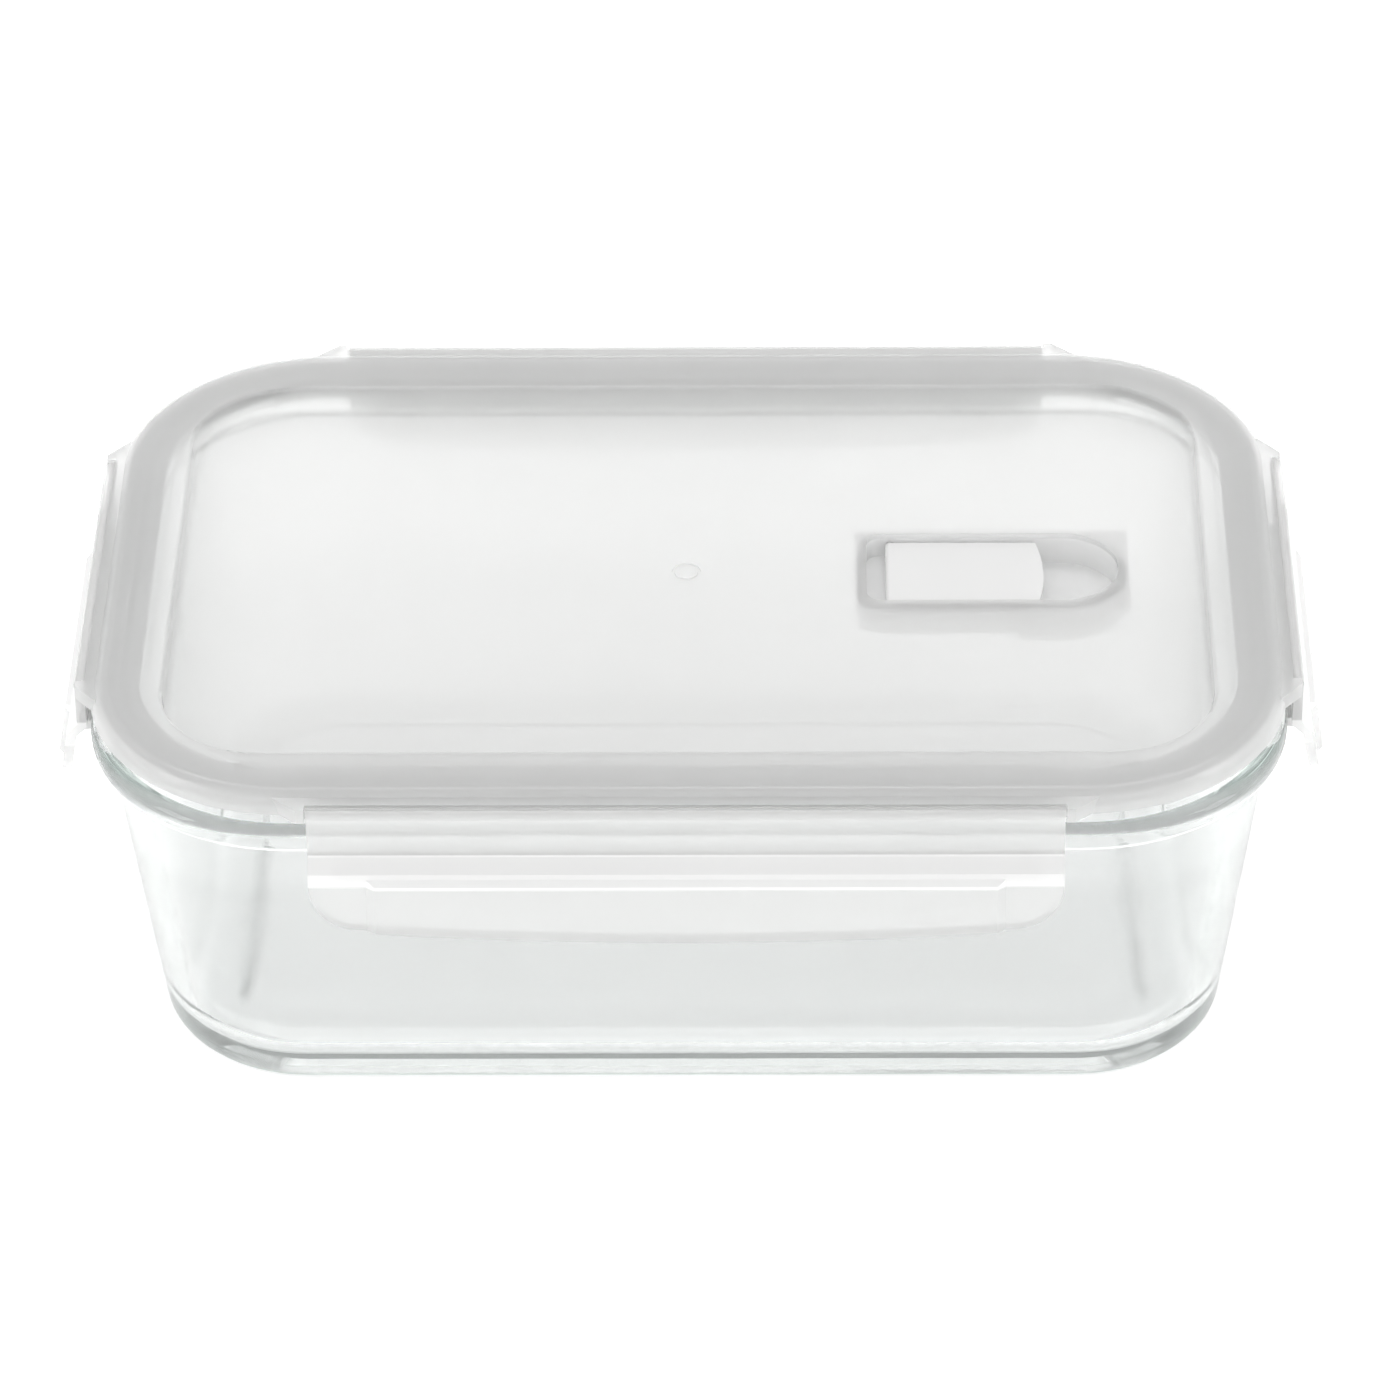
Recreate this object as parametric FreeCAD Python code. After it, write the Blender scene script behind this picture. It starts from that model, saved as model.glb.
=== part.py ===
# Rectangular glass food container with a snap-lock lid.  Millimetres.
# Origin: centre of the footprint at table height.  +X long side, +Z up.
import FreeCAD
import Part
import math
import os

V = FreeCAD.Vector
UP = V(0, 0, 1)

# ---- master outlines: half length, half depth, corner radius
RIM = (101.0, 66.8, 35.4)        # outside of the glass bead
LID = (100.8, 66.3, 35.5)        # lower edge of the lid skirt
LID_TOP_DRAFT = 0.5              # the skirt leans in this much by the top
RECESS = (88.3, 53.8, 17.6)      # upper edge of the sunken lid panel

# ---- glass dish
BASE_INSET = 10.2                # outside of the wall at the table
NECK_INSET = 2.6                 # outside of the wall at the bead
BASE_FILLET = 6.0
CAVITY_BASE_INSET = 14.2
CAVITY_TOP_INSET = 7.0
CAVITY_FILLET = 7.0
BASE_THICKNESS = 4.2
BEAD_BOTTOM = 58.0
BEAD_TOP = 62.8
BEAD_ROUND = 2.0
DISH_TOP = 66.4
LIP_ROUND = 0.9
FOOT_WIDTH = 6.0                 # flat ring the dish stands on
PUSH_UP = 0.9                    # hollow under the base

# ---- lid
SKIN = 1.5
LID_TOP = 69.9
SKIRT_BOTTOM = 66.1
SKIRT_THICKNESS = 1.8
LID_EDGE_ROUND = 3.0
RECESS_DEPTH = 5.0
RECESS_DRAFT = 0.5
RECESS_FLOOR_ROUND = 1.8
RECESS_EDGE_ROUND = 0.7
RIB_INSET = 8.4                  # inner wall of the gasket channel
RIB_THICKNESS = 1.2
RIB_BOTTOM = 65.9
GATE_CENTRE = (-0.8, 4.2)
GATE_RADIUS = 2.5
GATE_DEPTH = 0.3
GATE_LINE = 0.5

# ---- gasket
GASKET_CLEARANCE = 0.1           # beside the channel walls
GASKET_SEAT = 0.02               # above the glass lip
GASKET_CROWN_GAP = 0.08          # under the lid skin
GROOVE_INSETS = (1.3, 3.2)
GROOVE_WIDTH = 1.1
GROOVE_DEPTH = 0.7

# ---- vent pocket
POCKET_X = (30.3, 73.8)
POCKET_Y = 5.45
POCKET_HALF = 9.75
POCKET_CORNER = 2.5
POCKET_WALL = 1.5
FLOOR_TOP = 60.3                 # floor under the flap
FINGER_FLOOR_TOP = 58.8          # deeper floor for a fingertip
FINGER_X = 58.0
VENT_X = 45.0
VENT_RADIUS = 2.9

# ---- vent flap
FLAP_PIVOT_X = 34.4
FLAP_PIVOT_Z = 62.6
FLAP_END_X = 60.9
FLAP_HALF = 9.3
FLAP_THICKNESS = 1.6
FLAP_END_BOW = 1.2
FLAP_LIP = 2.6
TRUNNION_RADIUS = 0.55
TRUNNION_REACH = 0.95
TRUNNION_HOLE = 0.6
TRUNNION_HOLE_DEPTH = 1.05
PLUG_RADIUS = 4.4
PLUG_NOSE_RADIUS = 2.2
PLUG_NOSE_BOTTOM = 59.2
PLUG_SEAT = 0.04
PLUG_CROWN_GAP = 0.04

# ---- latches: name, turn about +Z, half width, hinge axis distance
HINGE_Z = 67.6
SIDES = (
    ("front", 0, 62.3, 68.4),
    ("right", 90, 32.5, 102.6),
    ("back", 180, 62.3, 68.4),
    ("left", 270, 32.5, 102.6),
)
BARREL_RADIUS = 0.9
WEB_INNER = 1.0
WEB_OUTER = 1.35
WEB_ARC = (-25.0, 80.0)
WEB_GAP = 0.02
STRAP_HALF = 0.8                 # half thickness of the upright strap
STRAP_END = 59.6
TAB_START = (2.8, 57.4)          # outward, height
TAB_END = (5.1, 44.0)
TAB_THICKNESS = 1.7
TAB_CORNER = 8.0
TAB_CORNER_RISE = 1.9            # how far the bowed edge lifts at the corners
TAB_LOW = 45.4
HOOK = ((-3.2, 57.5), (-3.2, 56.9), (-2.4, 56.0), (2.0, 55.3), (2.0, 57.5))
HOOK_END_GAP = 4.0
PAD_END_GAP = 8.8
PAD_RAISE = 0.9
PAD_ROOT = 0.5
PAD_TOP = 56.9
PAD_LOW = 42.0
PAD_END_SLOPE = 2.2
PAD_TOP_SLOPE = 1.2

# ---- hinge shelf on the lid
SHELF_BOTTOM = 66.3
SHELF_TOP = 69.0
SHELF_ROOT = -3.4
SHELF_FACE = -1.0
EAR_FACE = 0.5
EAR_GAP = 0.25
EAR_WIDTH = 1.4
EAR_SLOPE = 4.5


def inset(master, d):
    return master[0] - d, master[1] - d, master[2] - d


def outline(master, z):
    """Rounded rectangle at height z."""
    hx, hy, r = master
    centres = ((hx - r, hy - r), (r - hx, hy - r), (r - hx, r - hy), (hx - r, r - hy))
    arcs = []
    for i, (cx, cy) in enumerate(centres):
        arcs.append(Part.makeCircle(r, V(cx, cy, z), UP, 90.0 * i, 90.0 * (i + 1)))
    edges = []
    for i, arc in enumerate(arcs):
        following = arcs[(i + 1) % 4]
        edges.append(arc)
        edges.append(Part.makeLine(arc.valueAt(arc.LastParameter),
                                   following.valueAt(following.FirstParameter)))
    return Part.Wire(edges)


def tapered(low, z_low, high, z_high):
    return Part.makeLoft([outline(low, z_low), outline(high, z_high)], True, True)


def prism(master, z_low, z_high):
    return Part.Face(outline(master, z_low)).extrude(V(0, 0, z_high - z_low))


def edges_at(shape, z):
    """Horizontal edges lying at height z."""
    found = []
    for edge in shape.Edges:
        box = edge.BoundBox
        if abs(box.ZMin - z) < 1e-4 and abs(box.ZMax - z) < 1e-4:
            found.append(edge)
    return found


def extruded(points, x_low, x_high):
    """Section given as (outward, height) swept along X; outward is -Y."""
    corners = [V(x_low, -u, z) for u, z in points]
    face = Part.Face(Part.makePolygon(corners + corners[:1]))
    return face.extrude(V(x_high - x_low, 0, 0))


def box_between(low, high):
    size = V(*high) - V(*low)
    return Part.makeBox(size.x, size.y, size.z, V(*low))


def make_dish():
    height_to_bead = BEAD_BOTTOM + BEAD_ROUND
    wall = tapered(inset(RIM, BASE_INSET), 0, inset(RIM, NECK_INSET), height_to_bead)
    wall = wall.makeFillet(BASE_FILLET, edges_at(wall, 0))
    bead = prism(RIM, BEAD_BOTTOM, BEAD_TOP)
    rounded = edges_at(bead, BEAD_BOTTOM) + edges_at(bead, BEAD_TOP)
    bead = bead.makeFillet(BEAD_ROUND, rounded)
    neck = prism(inset(RIM, NECK_INSET), height_to_bead, DISH_TOP)
    cavity = tapered(inset(RIM, CAVITY_BASE_INSET), BASE_THICKNESS,
                     inset(RIM, CAVITY_TOP_INSET), DISH_TOP)
    cavity = cavity.makeFillet(CAVITY_FILLET, edges_at(cavity, BASE_THICKNESS))
    foot_inset = BASE_INSET + BASE_FILLET + FOOT_WIDTH
    hollow = tapered(inset(RIM, foot_inset), 0, inset(RIM, foot_inset + 2 * PUSH_UP), PUSH_UP)
    dish = wall.fuse([bead, neck]).removeSplitter()
    dish = dish.cut(cavity).cut(hollow)
    return dish.makeFillet(LIP_ROUND, edges_at(dish, DISH_TOP))


def placed(shape, turn, distance):
    """Move a shape built about the front hinge axis out to its own side."""
    moved = shape.copy()
    moved.translate(V(0, -distance, 0))
    moved.rotate(V(0, 0, 0), UP, turn)
    return moved


def make_shelf(half):
    ear = half + EAR_GAP + EAR_WIDTH
    root = ear + EAR_SLOPE
    plan = ((-root, SHELF_ROOT), (-ear, EAR_FACE), (ear, EAR_FACE), (root, SHELF_ROOT))
    corners = [V(x, -u, SHELF_BOTTOM) for x, u in plan]
    shelf = Part.Face(Part.makePolygon(corners + corners[:1])).extrude(
        V(0, 0, SHELF_TOP - SHELF_BOTTOM))
    inner = half + EAR_GAP
    bay = box_between((-inner, -2 * EAR_FACE, SHELF_BOTTOM - 1),
                      (inner, -SHELF_FACE, SHELF_TOP + 1))
    seat = Part.makeCylinder(WEB_OUTER + WEB_GAP, 2 * inner, V(-inner, 0, HINGE_Z), V(1, 0, 0))
    return shelf.cut(bay.fuse(seat))


def make_web(half):
    """Thin bridge wrapped around the top of the latch barrel."""
    low, high = WEB_ARC
    sweep = high - low
    shells = []
    for radius in (WEB_OUTER, WEB_INNER):
        rod = Part.makeCylinder(radius, 2 * half, V(0, 0, 0), UP, sweep)
        rod.rotate(V(0, 0, 0), UP, low)
        rod.rotate(V(0, 0, 0), V(1, 0, 0), 90)
        rod.rotate(V(0, 0, 0), UP, 90)
        rod.translate(V(-half, 0, HINGE_Z))
        shells.append(rod)
    return shells[0].cut(shells[1])


def vent_outline(margin, z):
    """Pocket plan: square-ended at the hinge, round at the finger end."""
    x0, x1 = POCKET_X[0] - margin, POCKET_X[1] + margin
    half = POCKET_HALF + margin
    r = POCKET_CORNER + margin
    turn = x1 - half
    low, high = POCKET_Y - half, POCKET_Y + half
    edges = [
        Part.makeLine(V(x0 + r, low, z), V(turn, low, z)),
        Part.makeCircle(half, V(turn, POCKET_Y, z), UP, -90, 90),
        Part.makeLine(V(turn, high, z), V(x0 + r, high, z)),
        Part.makeCircle(r, V(x0 + r, high - r, z), UP, 90, 180),
        Part.makeLine(V(x0, high - r, z), V(x0, low + r, z)),
        Part.makeCircle(r, V(x0 + r, low + r, z), UP, 180, 270),
    ]
    return Part.Wire(edges)


def vent_block(margin, z_low, z_high):
    return Part.Face(vent_outline(margin, z_low)).extrude(V(0, 0, z_high - z_low))


def trunnions(radius, reach):
    """Two short round studs on the flap's hinge axis."""
    rods = []
    for side in (-1, 1):
        start = V(FLAP_PIVOT_X, POCKET_Y + side * (FLAP_HALF - 1), FLAP_PIVOT_Z)
        length = POCKET_HALF - FLAP_HALF + 1 + reach
        rods.append(Part.makeCylinder(radius, length, start, V(0, side, 0)))
    return rods


def make_lid():
    top_outline = inset(LID, LID_TOP_DRAFT)
    panel_top = LID_TOP - RECESS_DEPTH
    shell = tapered(LID, SKIRT_BOTTOM, top_outline, LID_TOP)
    shell = shell.makeFillet(LID_EDGE_ROUND, edges_at(shell, LID_TOP))
    inside = inset(LID, SKIRT_THICKNESS)
    shell = shell.cut(prism(inside, SKIRT_BOTTOM - 1, LID_TOP - SKIN))
    pan = prism(inset(RECESS, -SKIN), panel_top - SKIN, LID_TOP - SKIN / 2)
    rib = prism(inset(LID, RIB_INSET), RIB_BOTTOM, LID_TOP - SKIN / 2)
    rib = rib.cut(prism(inset(LID, RIB_INSET + RIB_THICKNESS), RIB_BOTTOM - 1, LID_TOP))
    low_pocket = FINGER_FLOOR_TOP - POCKET_WALL
    pocket_box = vent_block(POCKET_WALL, low_pocket, panel_top - SKIN / 2)
    shallow = box_between((POCKET_X[0] - 9, -40, low_pocket - 1),
                          (FINGER_X - POCKET_WALL, 40, FLOOR_TOP - POCKET_WALL))
    pocket_box = pocket_box.cut(shallow)
    shelves = [placed(make_shelf(half), turn, dist) for _, turn, half, dist in SIDES]
    lid = shell.fuse([pan, rib, pocket_box] + shelves).removeSplitter()
    dip = tapered(inset(RECESS, RECESS_DRAFT), panel_top, RECESS, LID_TOP)
    dip = dip.makeFillet(RECESS_FLOOR_ROUND, edges_at(dip, panel_top))
    pocket = vent_block(0, FINGER_FLOOR_TOP, LID_TOP)
    step = box_between((POCKET_X[0] - 1, -40, FINGER_FLOOR_TOP - 1), (FINGER_X, 40, FLOOR_TOP))
    pocket = pocket.cut(step)
    vent = Part.makeCylinder(VENT_RADIUS, 2 * SKIN + 2, V(VENT_X, POCKET_Y, low_pocket - 1))
    gate = Part.makeCylinder(GATE_RADIUS, GATE_DEPTH, V(*GATE_CENTRE, panel_top - GATE_DEPTH))
    island = Part.makeCylinder(GATE_RADIUS - GATE_LINE, GATE_DEPTH,
                               V(*GATE_CENTRE, panel_top - GATE_DEPTH))
    lid = lid.cut(dip)
    lid = lid.makeFillet(RECESS_EDGE_ROUND, rim_of_recess(lid))
    return lid.cut([pocket, vent, gate.cut(island)] + trunnions(TRUNNION_HOLE, TRUNNION_HOLE_DEPTH))


def rim_of_recess(lid):
    reach = RECESS[0] + 1
    return [e for e in edges_at(lid, LID_TOP) if e.BoundBox.XMax < reach and -e.BoundBox.XMin < reach]


def make_gasket():
    outer = inset(LID, SKIRT_THICKNESS + GASKET_CLEARANCE)
    inner = inset(LID, RIB_INSET - GASKET_CLEARANCE)
    low = DISH_TOP + GASKET_SEAT
    high = LID_TOP - SKIN - GASKET_CROWN_GAP
    ring = prism(outer, low, high).cut(prism(inner, low - 1, high + 1))
    for d in GROOVE_INSETS:
        wide = prism(inset(outer, d), high - GROOVE_DEPTH, high + 1)
        narrow = prism(inset(outer, d + GROOVE_WIDTH), high - GROOVE_DEPTH - 1, high + 2)
        ring = ring.cut(wide.cut(narrow))
    return ring


def tab_front(half):
    """Front view of a latch: square shoulders, round corners, bowed lower edge."""
    rise = TAB_CORNER_RISE * half / SIDES[0][2]
    low = TAB_LOW + rise
    knee = low + TAB_CORNER
    flat = half - TAB_CORNER
    cut = TAB_CORNER * (1 - math.sqrt(0.5))
    top = HINGE_Z + BARREL_RADIUS + 1
    y = -20.0
    edges = [
        Part.makeLine(V(-half, y, top), V(-half, y, knee)),
        Part.Arc(V(-half, y, knee), V(cut - half, y, low + cut), V(-flat, y, low)).toShape(),
        Part.Arc(V(-flat, y, low), V(0, y, TAB_LOW), V(flat, y, low)).toShape(),
        Part.Arc(V(flat, y, low), V(half - cut, y, low + cut), V(half, y, knee)).toShape(),
        Part.makeLine(V(half, y, knee), V(half, y, top)),
        Part.makeLine(V(half, y, top), V(-half, y, top)),
    ]
    return Part.Face(Part.Wire(edges)).extrude(V(0, 40, 0))


def along_tab(z, outward):
    """Point on the tab's outer face at height z, pushed outward."""
    share = (TAB_START[1] - z) / (TAB_START[1] - TAB_END[1])
    return TAB_START[0] + share * (TAB_END[0] - TAB_START[0]) + outward, z


def pad_outline(reach, top, outward):
    """Finger pad corners on a plane lifted off the tab; it runs out over the lower edge."""
    corners = []
    for x, z in ((-reach, PAD_LOW), (reach, PAD_LOW), (reach, top), (-reach, top)):
        u, height = along_tab(z, outward)
        corners.append(V(x, -u, height))
    return Part.makePolygon(corners + corners[:1])


def make_latch(half):
    barrel = Part.makeCylinder(BARREL_RADIUS, 2 * half, V(-half, 0, HINGE_Z), V(1, 0, 0))
    section = (
        (STRAP_HALF, HINGE_Z), (STRAP_HALF, STRAP_END), TAB_START, TAB_END,
        (TAB_END[0] - TAB_THICKNESS, TAB_END[1]),
        (TAB_START[0] - TAB_THICKNESS, TAB_START[1] - 0.3),
        (-STRAP_HALF, STRAP_END - 0.7), (-STRAP_HALF, HINGE_Z),
    )
    plate = extruded(section, -half, half)
    hook = extruded(HOOK, HOOK_END_GAP - half, half - HOOK_END_GAP)
    reach = half - PAD_END_GAP
    foot = pad_outline(reach, PAD_TOP, -PAD_ROOT)
    crown = pad_outline(reach - PAD_END_SLOPE, PAD_TOP - PAD_TOP_SLOPE, PAD_RAISE)
    pad = Part.makeLoft([foot, crown], True, True)
    latch = barrel.fuse([plate, hook, pad])
    return latch.common(tab_front(half)).removeSplitter()


def make_flap():
    half = FLAP_THICKNESS / 2
    mid_end = FLAP_END_X - FLAP_END_BOW
    z = FLAP_PIVOT_Z - half
    low, high = POCKET_Y - FLAP_HALF, POCKET_Y + FLAP_HALF
    edges = [
        Part.makeLine(V(FLAP_PIVOT_X, low, z), V(mid_end, low, z)),
        Part.Arc(V(mid_end, low, z), V(FLAP_END_X, POCKET_Y, z), V(mid_end, high, z)).toShape(),
        Part.makeLine(V(mid_end, high, z), V(FLAP_PIVOT_X, high, z)),
        Part.makeLine(V(FLAP_PIVOT_X, high, z), V(FLAP_PIVOT_X, low, z)),
    ]
    plate = Part.Face(Part.Wire(edges)).extrude(V(0, 0, FLAP_THICKNESS))
    knuckle = Part.makeCylinder(half, 2 * FLAP_HALF, V(FLAP_PIVOT_X, low, FLAP_PIVOT_Z), V(0, 1, 0))
    thumb = box_between((FLAP_END_X - FLAP_LIP - FLAP_END_BOW, low + 2, z - 0.6),
                        (FLAP_END_X - FLAP_END_BOW - 0.6, high - 2, z))
    flap = plate.fuse([knuckle, thumb] + trunnions(TRUNNION_RADIUS, TRUNNION_REACH))
    return flap.removeSplitter()


def make_plug():
    top = FLAP_PIVOT_Z - FLAP_THICKNESS / 2 - PLUG_CROWN_GAP
    low = FLOOR_TOP + PLUG_SEAT
    disc = Part.makeCylinder(PLUG_RADIUS, top - low, V(VENT_X, POCKET_Y, low))
    nose = Part.makeCylinder(PLUG_NOSE_RADIUS, low - PLUG_NOSE_BOTTOM,
                             V(VENT_X, POCKET_Y, PLUG_NOSE_BOTTOM))
    return disc.fuse(nose).removeSplitter()


nodes = {
    "glass_dish": make_dish(),
    "lid_panel": make_lid(),
    "gasket": make_gasket(),
    "vent_flap": make_flap(),
    "vent_plug": make_plug(),
}
for side_name, turn_deg, half_width, distance in SIDES:
    nodes["latch_" + side_name] = placed(make_latch(half_width), turn_deg, distance)
    nodes["hinge_web_" + side_name] = placed(make_web(half_width), turn_deg, distance)

os.makedirs("parts", exist_ok=True)
for node_name, node_shape in nodes.items():
    node_shape.exportStep("parts/" + node_name + ".step")
    box = node_shape.BoundBox
    print(node_name, node_shape.isValid(), len(node_shape.Solids), round(node_shape.Volume / 1000, 2),
          [round(value, 2) for value in (box.XMin, box.XMax, box.YMin, box.YMax, box.ZMin, box.ZMax)])
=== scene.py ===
# Looks of a rectangular glass food container with a frosted snap-lock lid.
import math
import bpy
from mathutils import Matrix, Vector


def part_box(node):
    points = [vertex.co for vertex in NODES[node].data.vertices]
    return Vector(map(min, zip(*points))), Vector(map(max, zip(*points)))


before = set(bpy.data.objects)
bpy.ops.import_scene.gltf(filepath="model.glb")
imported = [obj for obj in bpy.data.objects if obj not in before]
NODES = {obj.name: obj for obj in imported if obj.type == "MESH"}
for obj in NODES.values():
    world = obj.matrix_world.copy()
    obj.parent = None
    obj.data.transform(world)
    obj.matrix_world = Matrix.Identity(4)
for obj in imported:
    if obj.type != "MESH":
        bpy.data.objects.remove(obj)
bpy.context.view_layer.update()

SIDES = ("front", "back", "left", "right")

NOISE_RANGE = (0.3, 0.7)             # where nearly all values of the noise lie
MIX_A, MIX_B, MIX_COLOUR = 6, 7, 2   # colour sockets of the Mix node

# Heights and lengths are in metres.
GLASS_IOR = 1.473
GLASS_OPACITY = 0.87                 # a little under 1, so light caught in the glass isn't black
GLASS_WALL = (0.016, 0.054)          # between the base and the bead the surface is less crisp
GLASS_WALL_FADE = 0.006
GLASS_ROUGHNESS = (0.02, 0.15)       # base and bead, wall
GLASS_TINT = (0.66, 0.88, 0.80)
GLASS_TINT_DENSITY = 7.0

PLASTIC_IOR = 1.49
PLASTIC_COAT = 0.7                   # glossy skin over the frosting
PLASTIC_COAT_ROUGHNESS = 0.07
THICK_CLEAR = 0.15                   # transmission and opacity where the moulding is thick
THICK_SOLID = 0.92
SCATTER_DEPTH = 0.004
EDGE_FADE = 0.0006
LID_ROUGHNESS = 0.36
LATCH_ROUGHNESS = 0.345

SILICONE_IOR = 1.41
SILICONE_CLEAR = 0.35

FLOOR_SIZE = 12.0
FLOOR_DROP = 0.0003
FLOOR_GLOW = 0.50
WORLD_STRENGTH = 0.75
LIGHT_BOUNCES = 12
INDIRECT_CLAMP = 4.0


# ------------------------------------------------------------------ materials
class Graph:
    """Small helper around one material's node tree."""

    def __init__(self, name):
        self.material = bpy.data.materials.new(name)
        self.material.use_nodes = True
        self.tree = self.material.node_tree
        self.shader = self.tree.nodes["Principled BSDF"]
        self.output = self.tree.nodes["Material Output"]
        coords = self.tree.nodes.new("ShaderNodeTexCoord")
        self.position = coords.outputs["Object"]

    def link(self, a, b):
        self.tree.links.new(a, b)

    def set(self, **values):
        for name, value in values.items():
            self.shader.inputs[name.replace("_", " ")].default_value = value

    def noise(self, scale, detail=4.0, rough=0.55):
        node = self.tree.nodes.new("ShaderNodeTexNoise")
        node.inputs["Scale"].default_value = scale
        node.inputs["Detail"].default_value = detail
        node.inputs["Roughness"].default_value = rough
        self.link(self.position, node.inputs["Vector"])
        return node.outputs["Fac"]

    def remap(self, value, low, high):
        node = self.tree.nodes.new("ShaderNodeMapRange")
        node.inputs["From Min"].default_value = NOISE_RANGE[0]
        node.inputs["From Max"].default_value = NOISE_RANGE[1]
        node.inputs["To Min"].default_value = low
        node.inputs["To Max"].default_value = high
        self.link(value, node.inputs["Value"])
        return node.outputs["Result"]

    def tint(self, value, low, high):
        node = self.tree.nodes.new("ShaderNodeMix")
        node.data_type = "RGBA"
        node.inputs[MIX_A].default_value = (*low, 1)
        node.inputs[MIX_B].default_value = (*high, 1)
        self.link(value, node.inputs[0])
        return node.outputs[MIX_COLOUR]

    def bump(self, value, strength, distance, before=None):
        node = self.tree.nodes.new("ShaderNodeBump")
        node.inputs["Strength"].default_value = strength
        node.inputs["Distance"].default_value = distance
        self.link(value, node.inputs["Height"])
        if before is not None:
            self.link(before, node.inputs["Normal"])
        return node.outputs["Normal"]

    def axis(self, name):
        node = self.tree.nodes.new("ShaderNodeSeparateXYZ")
        self.link(self.position, node.inputs["Vector"])
        return node.outputs[name]

    def ramp(self, value, start, end, low=0.0, high=1.0):
        """Smooth step of a coordinate in metres."""
        node = self.tree.nodes.new("ShaderNodeMapRange")
        node.interpolation_type = "SMOOTHSTEP"
        sockets = ("From Min", "From Max", "To Min", "To Max")
        for socket, number in zip(sockets, (start, end, low, high)):
            node.inputs[socket].default_value = number
        self.link(value, node.inputs["Value"])
        return node.outputs["Result"]

    def times(self, *values):
        result = values[0]
        for value in values[1:]:
            node = self.tree.nodes.new("ShaderNodeMath")
            node.operation = "MULTIPLY"
            self.link(result, node.inputs[0])
            self.link(value, node.inputs[1])
            result = node.outputs[0]
        return result

    def absorb(self, colour, density):
        node = self.tree.nodes.new("ShaderNodeVolumeAbsorption")
        node.inputs["Color"].default_value = (*colour, 1)
        node.inputs["Density"].default_value = density
        self.link(node.outputs["Volume"], self.output.inputs["Volume"])


def zone_mask(g, limits, fade=EDGE_FADE):
    """1 between each axis's low and high in metres, 0 outside, with a soft edge."""
    steps = []
    for axis, low, high in limits:
        steps.append(g.ramp(g.axis(axis), low - fade, low))
        steps.append(g.ramp(g.axis(axis), high, high + fade, 1.0, 0.0))
    return g.times(*steps)


def pressed_glass():
    g = Graph("pressed_glass")
    g.set(Base_Color=(1, 1, 1, 1), Transmission_Weight=1.0, IOR=GLASS_IOR, Alpha=GLASS_OPACITY)
    walls = zone_mask(g, (("Z", *GLASS_WALL),), GLASS_WALL_FADE)
    smear = g.remap(g.noise(38, 3), 0.7, 1.3)
    g.link(g.times(smear, g.ramp(walls, 0.0, 1.0, *GLASS_ROUGHNESS)), g.shader.inputs["Roughness"])
    waves = g.bump(g.noise(45, 1.5, 0.4), 0.12, 0.0010)
    g.link(waves, g.shader.inputs["Normal"])
    g.absorb(GLASS_TINT, GLASS_TINT_DENSITY)
    return g.material


def frosted_plastic(name, clear, solid, rough, low, high, thick, scatter=0.0):
    """Thick places scatter more light, so they are whiter and less clear."""
    g = Graph(name)
    g.set(IOR=PLASTIC_IOR)
    zone = zone_mask(g, thick)
    g.link(g.ramp(zone, 0.0, 1.0, clear, THICK_CLEAR), g.shader.inputs["Transmission Weight"])
    g.link(g.ramp(zone, 0.0, 1.0, solid, THICK_SOLID), g.shader.inputs["Alpha"])
    g.set(Subsurface_Radius=(1, 1, 1), Subsurface_Scale=SCATTER_DEPTH)
    g.link(g.ramp(zone, 0.0, 1.0, 0.0, scatter), g.shader.inputs["Subsurface Weight"])
    g.set(Coat_Weight=PLASTIC_COAT, Coat_Roughness=PLASTIC_COAT_ROUGHNESS,
          Coat_IOR=PLASTIC_IOR)
    g.link(g.tint(g.remap(g.noise(22, 3), 0, 1), low, high), g.shader.inputs["Base Color"])
    g.link(g.remap(g.noise(160, 5), rough - 0.03, rough + 0.05), g.shader.inputs["Roughness"])
    flow = g.bump(g.noise(30, 2, 0.4), 0.05, 0.0008)
    grain = g.bump(g.noise(1400, 2), 0.05, 0.0001, flow)
    g.link(grain, g.shader.inputs["Normal"])
    return g.material


def soft_silicone(name, low, high):
    g = Graph(name)
    g.set(Transmission_Weight=SILICONE_CLEAR, IOR=SILICONE_IOR)
    g.link(g.tint(g.remap(g.noise(60, 4), 0, 1), low, high), g.shader.inputs["Base Color"])
    g.link(g.remap(g.noise(300, 4), 0.42, 0.55), g.shader.inputs["Roughness"])
    g.link(g.bump(g.noise(2500, 3), 0.2, 0.0001), g.shader.inputs["Normal"])
    return g.material


def paper_floor():
    g = Graph("floor_paper")
    g.link(g.tint(g.remap(g.noise(9, 3), 0, 1), (0.93, 0.93, 0.93), (0.95, 0.95, 0.95)),
           g.shader.inputs["Base Color"])
    g.set(Roughness=0.9, Specular_IOR_Level=0.1,
          Emission_Color=(1, 1, 1, 1), Emission_Strength=FLOOR_GLOW)
    return g.material


GLASS = pressed_glass()
flap_low, flap_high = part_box("vent_flap")
latch_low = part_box("latch_front")[0]
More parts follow.
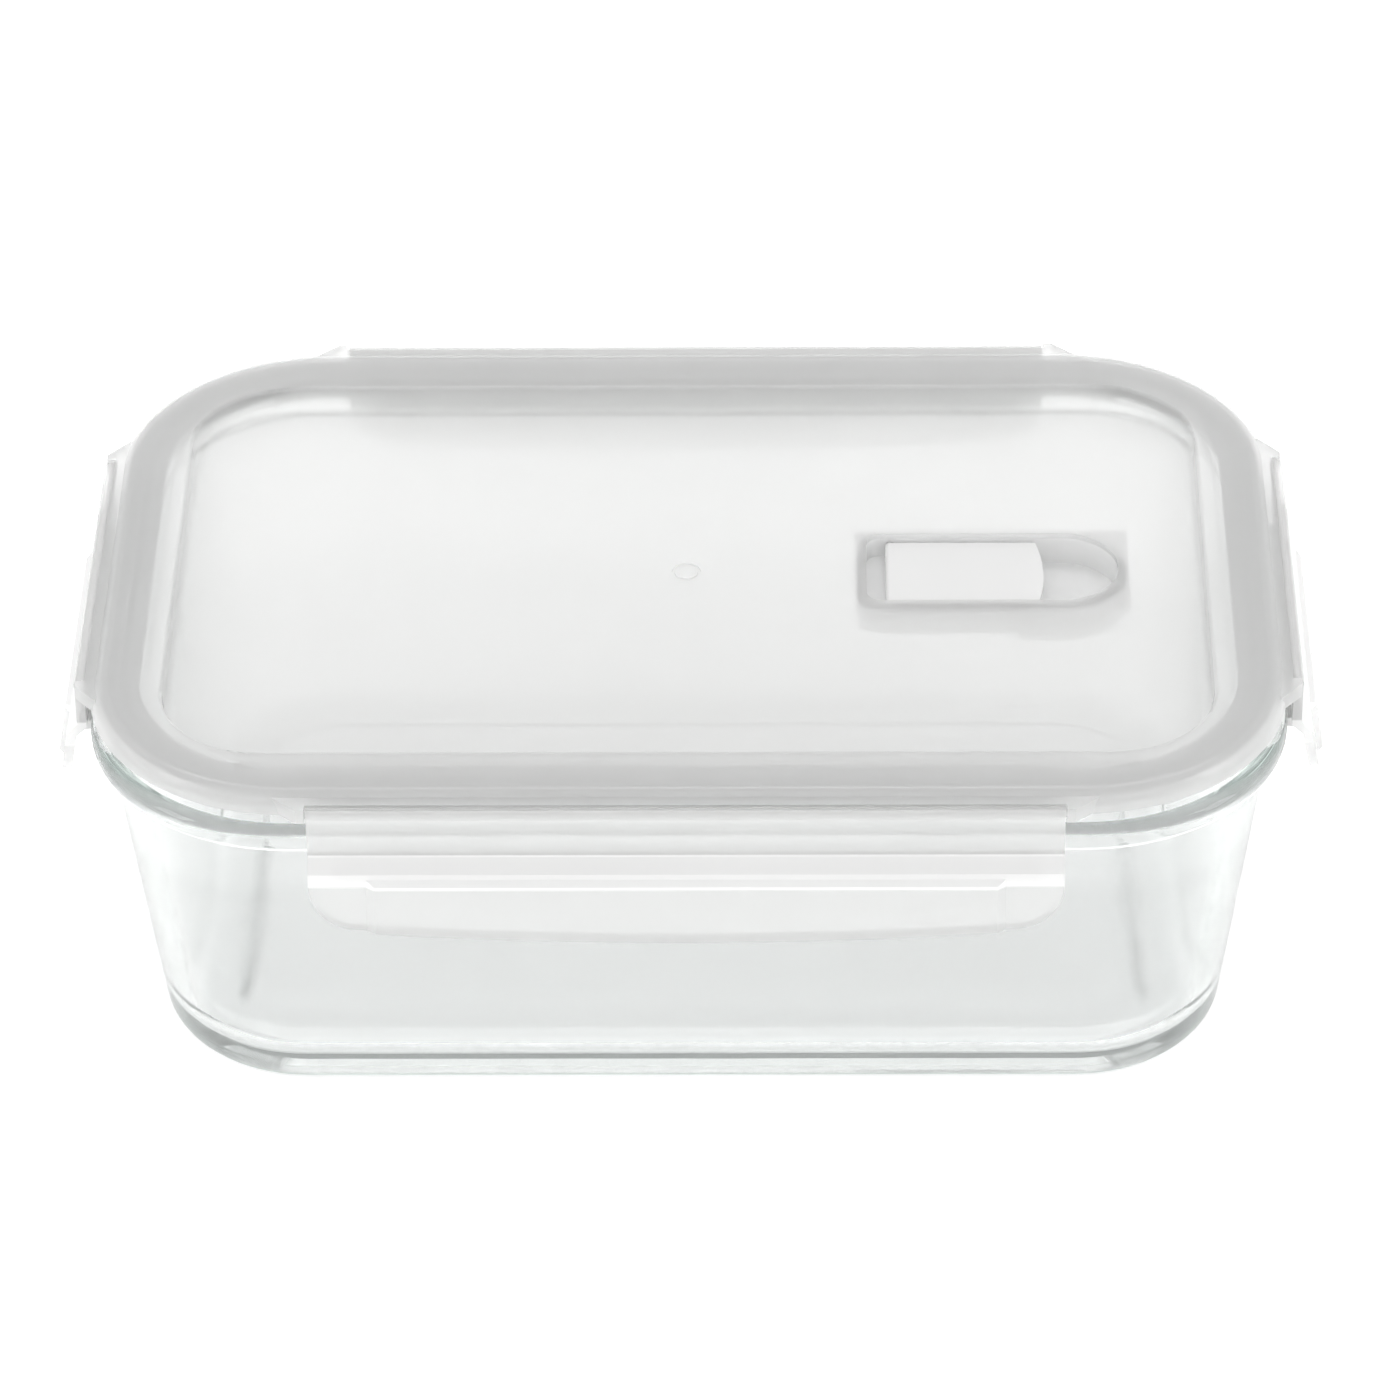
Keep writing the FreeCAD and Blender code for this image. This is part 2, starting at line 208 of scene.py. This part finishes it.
# The vent pocket with its flap, and the height of the latch hooks.
POCKET_ZONE = (("X", flap_low[0] - 0.005, flap_high[0] + 0.0145),
               ("Y", flap_low[1] - 0.001, flap_high[1] + 0.001),
               ("Z", flap_low[2] - 0.010, flap_high[2] + 0.0003))
HOOK_ZONE = (("Z", latch_low[2] + 0.0100, latch_low[2] + 0.0143),)
LID_PLASTIC = frosted_plastic("frosted_lid", 0.62, 0.66, LID_ROUGHNESS,
                              (0.950, 0.950, 0.946), (0.965, 0.965, 0.961), POCKET_ZONE, 1.0)
LATCH_PLASTIC = frosted_plastic("frosted_latch", 0.60, 0.56, LATCH_ROUGHNESS,
                                (0.925, 0.925, 0.921), (0.945, 0.945, 0.941), HOOK_ZONE)
FLAP_PLASTIC = frosted_plastic("frosted_flap", 0.40, 0.80, LID_ROUGHNESS,
                               (0.970, 0.970, 0.966), (0.985, 0.985, 0.981), POCKET_ZONE)
SILICONE = soft_silicone("gasket_silicone", (0.72, 0.73, 0.73), (0.78, 0.79, 0.79))
PLUG_SILICONE = soft_silicone("plug_silicone", (0.86, 0.87, 0.87), (0.90, 0.91, 0.91))


def paint(node, material):
    obj = NODES[node]
    for slot in obj.material_slots:
        slot.material = material
    if not obj.material_slots:
        obj.data.materials.append(material)


paint("glass_dish", GLASS)
paint("lid_panel", LID_PLASTIC)
paint("vent_flap", FLAP_PLASTIC)
paint("gasket", SILICONE)
paint("vent_plug", PLUG_SILICONE)
for side in SIDES:
    paint("latch_" + side, LATCH_PLASTIC)
    paint("hinge_web_" + side, LATCH_PLASTIC)


# ---------------------------------------------------------------- stage, light
def plane(name, size, z, material):
    mesh = bpy.data.meshes.new(name)
    h = size / 2
    mesh.from_pydata([(-h, -h, z), (h, -h, z), (h, h, z), (-h, h, z)], [], [(0, 1, 2, 3)])
    obj = bpy.data.objects.new(name, mesh)
    bpy.context.collection.objects.link(obj)
    mesh.materials.append(material)
    return obj


plane("floor", FLOOR_SIZE, -FLOOR_DROP, paper_floor())

world = bpy.data.worlds.new("studio")
world.use_nodes = True
world.node_tree.nodes["Background"].inputs["Color"].default_value = (1.0, 1.0, 1.0, 1)
world.node_tree.nodes["Background"].inputs["Strength"].default_value = WORLD_STRENGTH
bpy.context.scene.world = world


def softbox(name, place, size, power, aim=(0, 0, 0.03)):
    light = bpy.data.lights.new(name, "AREA")
    light.shape = "RECTANGLE"
    light.size, light.size_y = size
    light.energy = power
    obj = bpy.data.objects.new(name, light)
    obj.location = place
    obj.rotation_euler = (Vector(aim) - Vector(place)).to_track_quat("-Z", "Y").to_euler()
    bpy.context.collection.objects.link(obj)


softbox("overhead", (0.0, 0.45, 1.2), (1.3, 0.14), 3.5)
softbox("front_fill", (0.0, -1.2, 0.7), (1.2, 0.5), 1.2)
softbox("left_fill", (-1.2, -0.5, 0.6), (0.4, 0.8), 2.2)
softbox("right_fill", (1.2, -0.3, 0.6), (0.4, 0.8), 2.2)

scene = bpy.context.scene
scene.view_settings.view_transform = "Standard"
scene.cycles.max_bounces = LIGHT_BOUNCES
scene.cycles.transmission_bounces = LIGHT_BOUNCES
scene.cycles.sample_clamp_indirect = INDIRECT_CLAMP

# ---------------------------------------------------------------------- camera
PITCH = math.radians(36.5)
YAW = math.radians(1.2)
ROLL = math.radians(-0.84)
DISTANCE = 1.1852
LENS_MM = 176.3
SENSOR_MM = 36.0
TARGET = Vector((0.0004, 0.0, 0.0416))

camera = bpy.data.cameras.new("camera")
camera.sensor_width = SENSOR_MM
camera.lens = LENS_MM
camera.clip_start = 0.05
camera.clip_end = 50.0
cam = bpy.data.objects.new("camera", camera)
level = math.cos(PITCH)
back = Vector((math.sin(YAW) * level, -math.cos(YAW) * level, math.sin(PITCH)))
cam.location = TARGET + back * DISTANCE
cam.rotation_mode = "QUATERNION"
right = (-back).cross(Vector((0, 0, 1))).normalized()
up = right.cross(-back)
rolled_right = right * math.cos(ROLL) + up * math.sin(ROLL)
rolled_up = -right * math.sin(ROLL) + up * math.cos(ROLL)
cam.rotation_quaternion = Matrix((rolled_right, rolled_up, back)).transposed().to_quaternion()
bpy.context.collection.objects.link(cam)
scene.camera = cam
